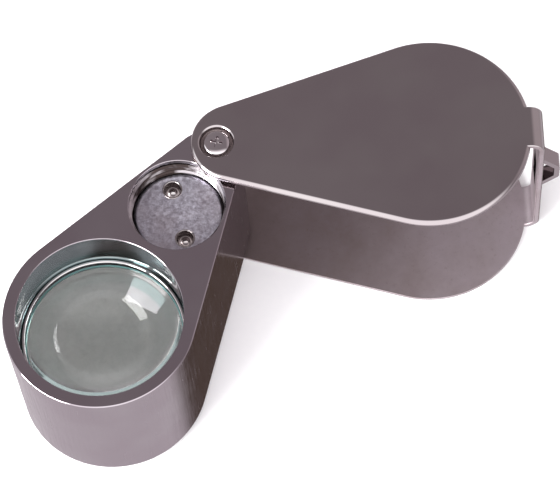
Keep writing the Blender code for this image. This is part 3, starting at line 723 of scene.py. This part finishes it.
def bore_tools():
    """Cutters for the lens bore, the light's bore under it, the lens seat and the battery compartment."""
    top, bottom = HOUSING_Z1, HOUSING_Z0
    seat, chamber_top = top - SEAT_DEPTH, top - THREAD_DEPTH

    def mouth_at_top(radius):
        corner = (radius + MOUTH_EDGE, top - MOUTH_EDGE)
        edge = arc(corner, MOUTH_EDGE, math.pi, math.pi / 2, MOUTH_STEPS)
        return edge + [(radius + MOUTH_EDGE, top + OUT), (0, top + OUT)]

    lens_bore = turned([(0, seat), (BORE_R, seat)] + mouth_at_top(BORE_R), FINE_ROUND)
    corner = (LOWER_BORE_R + MOUTH_EDGE, bottom + MOUTH_EDGE)
    edge = arc(corner, MOUTH_EDGE, -math.pi / 2, -math.pi, MOUTH_STEPS)
    mouth = [(0, bottom - OUT), (LOWER_BORE_R + MOUTH_EDGE, bottom - OUT)]
    ceiling = [(LOWER_BORE_R, seat - SEAT_THICK), (0, seat - SEAT_THICK)]
    lower_bore = turned(mouth + edge + ceiling, FINE_ROUND)
    seat_hole = cylinder(SEAT_R, seat - 2 * SEAT_THICK, seat + OUT, FINE_ROUND)
    chamber = [(0, bottom + CHAMBER_FLOOR), (CHAMBER_R, bottom + CHAMBER_FLOOR),
               (CHAMBER_R, chamber_top), (THREAD_R, chamber_top)]
    compartment = turned(chamber + mouth_at_top(THREAD_R))
    tools = []
    for name, shape, x in (("lens bore", lens_bore, REACH), ("lower bore", lower_bore, REACH),
                           ("seat hole", seat_hole, REACH), ("compartment", compartment, CELL_AXIS)):
        tool = mesh_object(name, shape)
        tool.location.x = x
        tools.append(tool)
    return tools


def screw_holes():
    """Cutters for the two pivot screws' holes."""
    depth = SCREW_LENGTH + OUT
    upper = cylinder(SCREW_R + FIT, HOUSING_Z1 - depth, HOUSING_Z1 + OUT)
    lower = cylinder(SCREW_R + FIT, HOUSING_Z0 - OUT, HOUSING_Z0 + depth)
    return [mesh_object("upper hole", upper), mesh_object("lower hole", lower)]


def lamp_hole():
    """Cutter for the hole from the battery compartment to the bore under the lens."""
    half = LAMP_HOLE_LENGTH / 2
    hole = mesh_object("lamp hole", cylinder(LAMP_R + FIT, -half, half))
    hole.location = (LAMP_HOLE_START + half, 0, LAMP_Z)
    hole.rotation_euler.y = math.pi / 2
    return hole


def switch_pocket():
    """Cutter for the pocket of the switch in the flank."""
    origin, along, _ = flank_frame()
    centre = origin + along * SWITCH_ALONG
    block = box((POCKET_LENGTH, 2 * POCKET_DEPTH, POCKET_HEIGHT))
    soften_sharp(block, POCKET_EDGE, EDGE_STEPS, lambda e: not level_in_y(e))
    pocket = mesh_object("pocket", block)
    pocket.location = (centre.x, centre.y, SWITCH_Z)
    pocket.rotation_euler.z = math.atan2(along.y, along.x)
    return pocket


def make_housing(looks):
    bm = slab(teardrop(NOSE_OFFSET, NOSE_R, REACH, HOUSING_R), HOUSING_Z0, HOUSING_Z1)
    for face in (HOUSING_Z0, HOUSING_Z1):
        soften(bm, face, HOUSING_EDGE, EDGE_STEPS)
    housing = mesh_object("loupe_body", bm)
    cut(housing, *bore_tools(), *screw_holes(), lamp_hole(), switch_pocket())
    thread_bottom = HOUSING_Z1 - THREAD_DEPTH
    ridge = thread_ridge(THREAD_R, THREAD_CREST_R, thread_bottom + THREAD_END_GAP,
                         HOUSING_Z1 - HOUSING_THREAD_TOP, 0)
    absorb(housing, ridge, Matrix.Translation((CELL_AXIS, 0, 0)))
    for face in housing.data.polygons:
        x, y, z = face.center
        if HOUSING_Z0 + MOUTH_EDGE / 2 < z < HOUSING_Z1 - MOUTH_EDGE / 2:
            in_thread = math.hypot(x - CELL_AXIS, y) < THREAD_R + MOUTH_EDGE / 2 and z > thread_bottom
            in_bore = math.hypot(x - REACH, y) < BORE_R + MOUTH_EDGE / 2
            face.material_index = 1 if in_thread else 2 if in_bore else 0
    surfaces = [looks["housing"], looks["thread"], looks["bore"]]
    finish(housing, surfaces, "lens_housing", "lens_housing", SWUNG)


def make_screw(looks, side, seat, outward, turn):
    """Pan-head screw with a cross recess whose arms narrow as they go down."""
    def at(height):
        return seat + outward * height
    straight_side, fullness, point_share = 0.4, 0.8, 0.7
    dome = []
    for degrees in range(0, 86, 7):
        a = math.radians(degrees)
        height = SCREW_HEAD * (straight_side + (1 - straight_side) * math.sin(a))
        dome.append((SCREW_HEAD_R * math.cos(a) ** fullness, at(height)))
    shank = [(0, at(-SCREW_LENGTH)), (SCREW_R * point_share, at(-SCREW_LENGTH)),
             (SCREW_R, at(SCREW_POINT - SCREW_LENGTH)), (SCREW_R, at(0))]
    under = [(SCREW_HEAD_R - SCREW_HEAD_EDGE, at(0)), (SCREW_HEAD_R, at(SCREW_HEAD_EDGE))]
    head = turned(shank + under + dome + [(0, at(SCREW_HEAD))], SMALL_ROUND)
    screw = mesh_object("pivot_screw_" + side + "_head", head)
    arms = []
    deep_span, deep_width = 0.62, 0.6
    for i in range(2):
        bm = box((CROSS_SPAN, CROSS_WIDTH, 2 * CROSS_DEPTH))
        for v in bm.verts:
            if v.co.z * outward < 0:
                v.co.x *= deep_span
                v.co.y *= deep_width
        arm = mesh_object(f"arm {i}", bm)
        arm.location.z = at(SCREW_HEAD)
        arm.rotation_euler.z = turn + i * math.pi / 2
        arms.append(arm)
    cut(screw, *arms)
    finish(screw, [looks["screw"]], "lens_housing", "pivot_screw_" + side, SWUNG)


def make_ring(looks):
    """The ring over the lens, rounded inside, with two notches for its key."""
    outer = BORE_R - FIT
    corner = (RING_INNER_R + RING_BEVEL, RING_Z1 - RING_BEVEL)
    slope = arc(corner, RING_BEVEL, math.pi, math.pi / 2, RING_STEPS)
    profile = [(RING_INNER_R, RING_Z0), (outer, RING_Z0), (outer, RING_Z1 - RING_BEVEL / 3),
               (outer - RING_BEVEL / 3, RING_Z1)]
    ring = mesh_object("retaining_ring", turned(profile + slope[::-1], FINE_ROUND, closed=True))
    notches = []
    notch_size = (NOTCH_LENGTH, NOTCH_WIDTH, (RING_Z1 - RING_Z0) / 2)
    for i in range(2):
        at = ((RING_INNER_R + outer) / 2 * (1 - 2 * i), 0, RING_Z1)
        notches.append(mesh_object(f"notch {i}", box(notch_size, at)))
    cut(ring, *notches)
    matrix = SWUNG @ Matrix.Translation((REACH, 0, 0))
    finish(ring, [looks["ring"]], "lens_housing", "lens_retaining_ring", matrix)


def make_lens(looks):
    """Biconvex glass between two spherical faces, with a ground edge."""
    rise = LENS_DOME_RISE
    sphere = (LENS_DOME_R**2 + rise**2) / (2 * rise)
    half = math.asin(LENS_DOME_R / sphere)
    steps = 40
    angles = [half * i / steps for i in range(steps + 1)]
    upper = [(sphere * math.sin(a), LENS_Z1 - sphere * (1 - math.cos(a))) for a in angles]
    lower = [(r, LENS_Z0 + LENS_Z1 - z) for r, z in upper]
    edge_low, edge_top = LENS_Z0 + rise, LENS_Z1 - rise
    rim = [(LENS_R - LENS_NICK, edge_low), (LENS_R, edge_low + LENS_NICK),
           (LENS_R, edge_top - LENS_NICK), (LENS_R - LENS_NICK, edge_top)]
    bm = turned(lower + rim + upper[::-1], FINE_ROUND)
    for face in bm.faces:
        middle_r = Vector(face.calc_center_median()).to_2d().length
        face.material_index = int(middle_r > LENS_DOME_R + LENS_NICK)
    lens = mesh_object("lens", bm)
    matrix = SWUNG @ Matrix.Translation((REACH, 0, 0))
    glass = [looks["glass"], looks["lens_edge"]]
    finish(lens, glass, "lens_housing", "magnifying_lens", matrix)


def spanner_hole(i):
    """Bead and round-bottomed cutter of one of the cap's two spanner holes."""
    angle = SPANNER_TURN + i * math.pi
    crown = arc((SPANNER_R + RIM_WIDTH / 2, CAP_Z1 - RIM_BEAD_R), RIM_BEAD_R, 0, math.pi, BEAD_STEPS)
    foot = [(SPANNER_R - RIM_OVERLAP, CAP_Z1 - RIM_SUNK), (SPANNER_R + RIM_WIDTH, CAP_Z1 - RIM_SUNK)]
    rim = mesh_object(f"rim {i}", turned(foot + crown, HOLE_ROUND, closed=True))
    bowl_rise = 0.3
    centre = (0, CAP_Z1 - SPANNER_DEPTH + SPANNER_R * bowl_rise)
    bowl = arc(centre, SPANNER_R, -math.pi / 2, 0, BEAD_STEPS)
    hole = turned(bowl + [(SPANNER_R, CAP_Z1 + OUT), (0, CAP_Z1 + OUT)], HOLE_ROUND)
    tool = mesh_object(f"spanner hole {i}", hole)
    rim.location = tool.location = (SPANNER_OFFSET * math.cos(angle), SPANNER_OFFSET * math.sin(angle), 0)
    return rim, tool


def make_cap(looks):
    """Threaded cap with a faint raised border and two rimmed spanner holes."""
    shoulder = (CAP_R - CAP_BEVEL * 0.7, CAP_Z1 - CAP_BEVEL * 0.1)
    lower = [(0, CAP_Z0), (CAP_R - CAP_BEVEL, CAP_Z0), (CAP_R, CAP_Z0 + CAP_BEVEL)]
    upper = [(CAP_R, CAP_Z1 - CAP_BEVEL), shoulder, (CAP_R - CAP_BEVEL, CAP_Z1)]
    dip_r = CAP_R - CAP_BORDER - CAP_BORDER_SLOPE
    face = [(CAP_R - CAP_BORDER, CAP_Z1), (dip_r, CAP_Z1 - CAP_DIP), (0, CAP_Z1 - CAP_DIP)]
    cap = mesh_object("screw_cap", turned(lower + upper + face))
    rims, tools = zip(*(spanner_hole(i) for i in range(2)))
    spots = [Vector(rim.location) for rim in rims]
    join(cap, *rims)
    cut(cap, *tools)
    for face in cap.data.polygons:
        corners = [cap.data.vertices[i].co for i in face.vertices]
        reach = min(max((corner - spot).to_2d().length for corner in corners) for spot in spots)
        # The spanner holes and their rims take the darker plate, painted shade in the holes
        face.material_index = int(reach < SPANNER_R + RIM_WIDTH)
    ridge = thread_ridge(CAP_R, CAP_CREST_R, CAP_Z0 + THREAD_END_GAP, CAP_Z1 - CAP_THREAD_TOP,
                         CAP_THREAD_START)
    absorb(cap, ridge)
    matrix = SWUNG @ Matrix.Translation((CELL_AXIS, 0, 0))
    finish(cap, [looks["cap"], looks["drilled"]], "battery_cap", "battery_cap", matrix)


def make_slider(looks):
    """The switch's knob, with finger grooves across it."""
    _, along, normal = flank_frame()
    block = box((KNOB_LENGTH, KNOB_DEPTH, KNOB_HEIGHT))
    knob = mesh_object("switch_knob", soften_sharp(block, KNOB_EDGE, EDGE_STEPS))
    grooves = []
    for i in range(GROOVES):
        x = KNOB_LENGTH * (i - (GROOVES - 1) / 2) / (GROOVES + 1)
        groove = mesh_object(f"groove {i}", cylinder(GROOVE_R, -KNOB_HEIGHT, KNOB_HEIGHT, GROOVE_ROUND))
        groove.location = (x, KNOB_DEPTH / 2 + GROOVE_PROUD, 0)
        grooves.append(groove)
    cut(knob, *grooves)
    facing = Matrix((-along, normal, Vector((0, 0, 1)))).transposed()
    matrix = Matrix.Translation(middle("switch_slider")) @ (SWUNG.to_3x3() @ facing).to_4x4()
    finish(knob, [looks["black"]], "switch_slider", "switch_slider", matrix)


def dress_nodes(looks):
    """Gives the carried-over CAD nodes their materials."""
    dressed = {
        "brass": ["battery_contact_spring", "cell_contact_plate"],
        "cell": ["button_cell_1", "button_cell_2", "button_cell_3", "switch_body"],
        "nylon": ["pivot_washer_upper", "pivot_washer_lower"],
        "black": ["battery_sleeve", "switch_lead_black"],
        "red": ["switch_lead_red"],
        "board": ["lamp_board"],
        "lamp": ["lamp_led"],
        "resistor": ["resistor"],
    }
    for look, names in dressed.items():
        for name in names:
            NODES[name].data.materials.clear()
            NODES[name].data.materials.append(looks[look])


# Studio


def make_floor():
    """A round sheet of pale paper, a hair under the cover."""
    bm = bmesh.new()
    bmesh.ops.create_circle(bm, cap_ends=True, segments=SMALL_ROUND, radius=2.0)
    floor = mesh_object("floor", bm)
    floor.location.z = -0.03 * MM
    look = Look("floor_paper")
    fibre = look.noise(900, detail=4)
    look.colour(look.blended(fibre, (0.86, 0.86, 0.87), (0.90, 0.90, 0.90)))
    look.rough(look.ranged(fibre, 0.3, 0.7, 0.7, 0.9))
    floor.data.materials.append(look.material)
    floor.visible_glossy = False


def make_world():
    """A mauve-grey room with soft bright fields, as a product studio shows in polished metal."""
    world = bpy.data.worlds.new("studio")
    bpy.context.scene.world = world
    world.use_nodes = True
    tree = world.node_tree
    tree.nodes.clear()
    output = tree.nodes.new("ShaderNodeOutputWorld")
    direction = tree.nodes.new("ShaderNodeTexCoord").outputs["Generated"]

    def field(towards, inner, outer, colour):
        """A round bright field: full inside one angle from its middle, gone outside the other."""
        dot = tree.nodes.new("ShaderNodeVectorMath")
        dot.operation = "DOT_PRODUCT"
        tree.links.new(direction, dot.inputs[0])
        dot.inputs[1].default_value = Vector(towards).normalized()
        fade = tree.nodes.new("ShaderNodeMapRange")
        fade.interpolation_type = "SMOOTHSTEP"
        fade.inputs["From Min"].default_value = math.cos(math.radians(outer))
        fade.inputs["From Max"].default_value = math.cos(math.radians(inner))
        tree.links.new(dot.outputs["Value"], fade.inputs["Value"])
        mix = tree.nodes.new("ShaderNodeMix")
        mix.data_type = "RGBA"
        tree.links.new(fade.outputs["Result"], mix.inputs[0])
        mix.inputs[7].default_value = (*colour, 1)
        return mix

    # Direction, inner and outer angle in degrees, and colour of each field, the last on top
    fields = [
        ((0, 0, -1), 60, 92, (0.72, 0.66, 0.70)),
        # Painted shadow: the dark field low at the back right stands for the shaded floor beside the
        # housing, as the chrome reflects it
        ((0.27, 0.35, -0.9), 14, 26, (0.09, 0.062, 0.052)),
        ((0.85, 0.4, 0.3), 14, 44, (0.62, 0.54, 0.57)),
        ((0, -0.85, 0.35), 42, 74, (1.9, 1.86, 1.9)),
        ((-0.9, -0.1, 0.35), 14, 30, (1.6, 1.6, 1.65)),
    ]
    last = (0.30, 0.262, 0.28)
    for towards, inner, outer, colour in fields:
        mix = field(towards, inner, outer, colour)
        if isinstance(last, tuple):
            mix.inputs[6].default_value = (*last, 1)
        else:
            tree.links.new(last, mix.inputs[6])
        last = mix.outputs[2]
    studio = tree.nodes.new("ShaderNodeBackground")
    tree.links.new(last, studio.inputs["Color"])
    backdrop = tree.nodes.new("ShaderNodeBackground")
    backdrop.inputs["Color"].default_value = (0.93, 0.93, 0.935, 1)
    seen = tree.nodes.new("ShaderNodeLightPath").outputs["Is Camera Ray"]
    choose = tree.nodes.new("ShaderNodeMixShader")
    tree.links.new(seen, choose.inputs[0])
    tree.links.new(studio.outputs[0], choose.inputs[1])
    tree.links.new(backdrop.outputs[0], choose.inputs[2])
    tree.links.new(choose.outputs[0], output.inputs["Surface"])


def area_light(name, towards, distance, size, watts, aim, glossy=True):
    """A square lamp that faces its aim. One that isn't glossy doesn't show in polished metal."""
    light = bpy.data.lights.new(name, "AREA")
    light.shape = "SQUARE"
    light.size = size
    light.energy = watts
    lamp = bpy.data.objects.new(name, light)
    bpy.context.scene.collection.objects.link(lamp)
    lamp.location = aim + Vector(towards).normalized() * distance
    lamp.rotation_euler = (lamp.location - aim).to_track_quat("Z", "Y").to_matrix().to_euler()
    lamp.visible_glossy = glossy
    lamp.visible_transmission = glossy
    lamp.visible_camera = False


def make_lights():
    aim = Vector((-0.02, -0.005, 0.012))
    area_light("overhead", (-0.2, -0.2, 1), 1.2, 1.4, 11.0, aim, glossy=False)
    area_light("key softbox", (-0.76, -0.52, 0.39), 0.7, 0.46, 12.0, aim)


def make_camera():
    """A long lens that looks down from the front, rolled a little."""
    azimuth, elevation, roll = math.radians(3.629), math.radians(65.87), math.radians(-6.089)
    target, distance = Vector((-0.02373, -0.00556, 0)), 0.46077
    back = Vector((math.sin(azimuth) * math.cos(elevation), -math.cos(azimuth) * math.cos(elevation),
                   math.sin(elevation)))
    level = Vector((math.cos(azimuth), math.sin(azimuth), 0))
    upward = back.cross(level)
    right = level * math.cos(roll) + upward * math.sin(roll)
    up = back.cross(right)
    data = bpy.data.cameras.new("camera")
    data.lens, data.sensor_width, data.sensor_fit = 188.1, 36, "HORIZONTAL"
    data.clip_start, data.clip_end = 0.01, 20
    camera = bpy.data.objects.new("camera", data)
    bpy.context.scene.collection.objects.link(camera)
    turn = Matrix((right, up, back)).transposed().to_4x4()
    camera.matrix_world = Matrix.Translation(target + back * distance) @ turn
    bpy.context.scene.camera = camera


def main():
    looks = build_looks()
    make_cover(looks)
    make_housing(looks)
    make_screw(looks, "upper", COVER_TOP - DISH_DEPTH + FIT, 1, math.radians(20))
    make_screw(looks, "lower", DISH_DEPTH - FIT, -1, math.radians(55))
    make_ring(looks)
    make_lens(looks)
    make_cap(looks)
    make_slider(looks)
    dress_nodes(looks)
    make_floor()
    make_world()
    make_lights()
    make_camera()
    bpy.context.scene.view_settings.view_transform = "Standard"


main()
